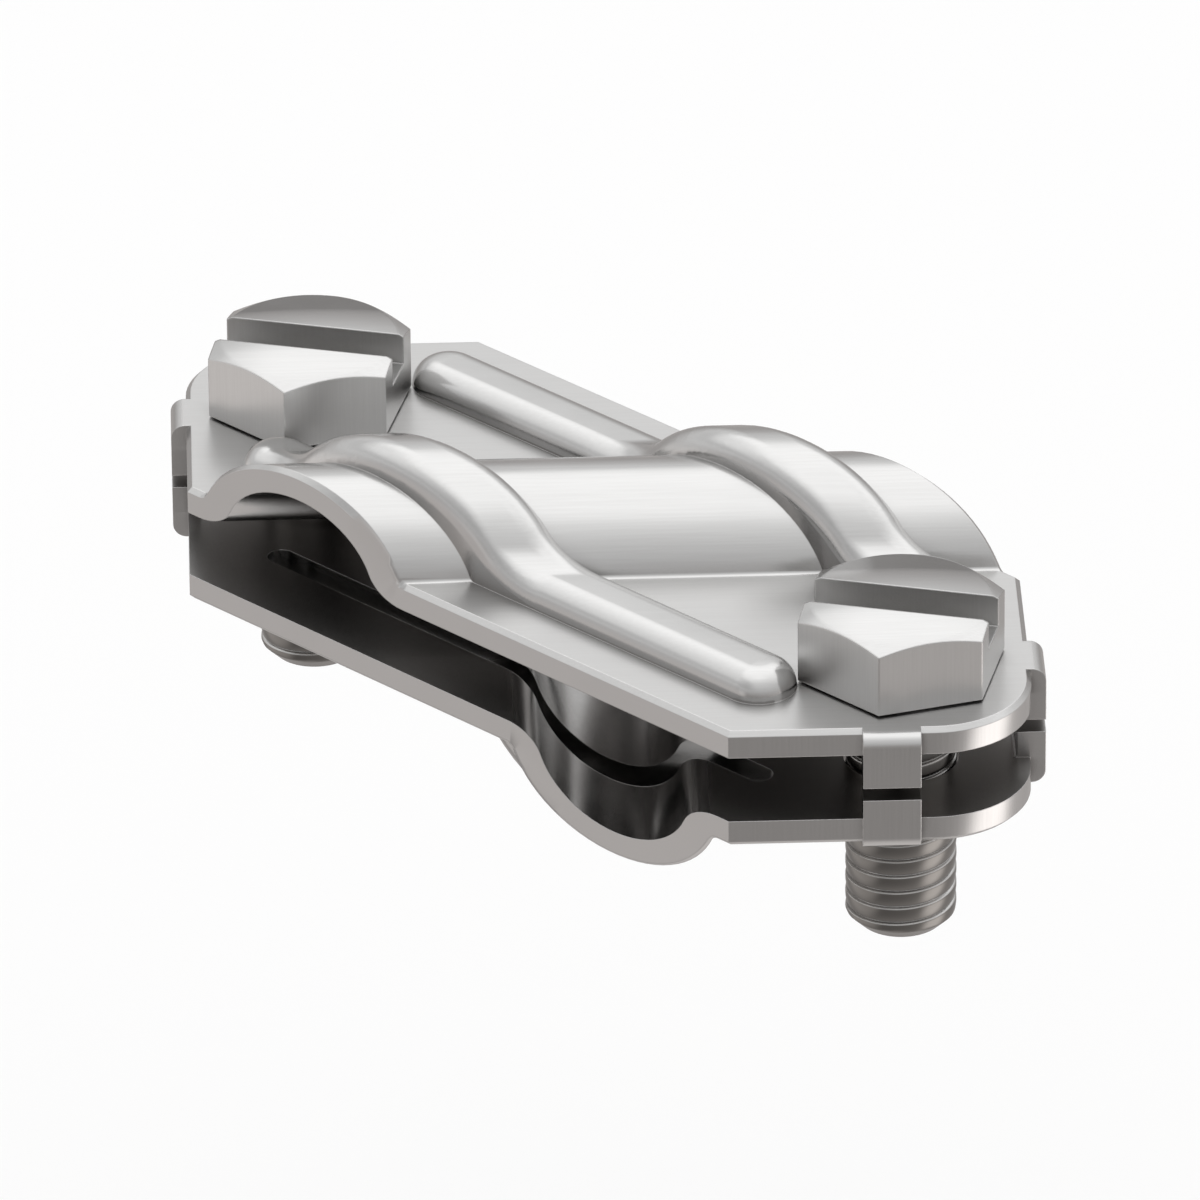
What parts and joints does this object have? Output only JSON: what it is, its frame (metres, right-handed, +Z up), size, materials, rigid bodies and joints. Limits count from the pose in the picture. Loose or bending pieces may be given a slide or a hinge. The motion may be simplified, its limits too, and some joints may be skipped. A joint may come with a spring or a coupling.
{
  "type": "cross clamp block",
  "caption": "Cross clamp for round rods: pressed steel halves with half-round channels at right angles and raised stiffening beads, drawn together by slotted hexagon screws.",
  "frame": {"origin": "centre of the block, midway between the two halves, where the two rod channels cross in plan", "axes": "+X along the upper half's rod channel, +Y along the lower half's rod channel, +Z up towards the screw heads; the screws stand on the diagonal from -X +Y to +X -Y"},
  "size_m": [0.0602, 0.0602, 0.027],
  "materials": {
    "clamp_steel": "satin stainless sheet",
    "screw_steel": "satin stainless, turned and milled"
  },
  "bodies": {
    "lower_half": {"lower_clamp_half": "clamp_steel"},
    "upper_half": {"upper_clamp_half": "clamp_steel"},
    "left_screw": {"left_clamp_screw": "screw_steel"},
    "right_screw": {"right_clamp_screw": "screw_steel"}
  },
  "joints": [
    {"name": "halves_open", "type": "slide", "parent": "lower_half", "child": "upper_half", "axis": [0, 0, 1], "range_m": [-0.0009, 0.01]},
    {"name": "left_screw_turn", "type": "hinge", "parent": "upper_half", "child": "left_screw", "pos_m": [-0.0201, 0.0201, 0.0045], "axis": [0, 0, 1], "range_deg": [-260, 2881]},
    {"name": "right_screw_turn", "type": "hinge", "parent": "upper_half", "child": "right_screw", "pos_m": [0.0201, -0.0201, 0.0045], "axis": [0, 0, 1], "range_deg": [-260, 2881]}
  ],
  "couplings": [
    {"joint": "left_screw_turn", "follows": "halves_open", "rad_per_m": 5026.5},
    {"joint": "right_screw_turn", "follows": "halves_open", "rad_per_m": 5026.5}
  ]
}
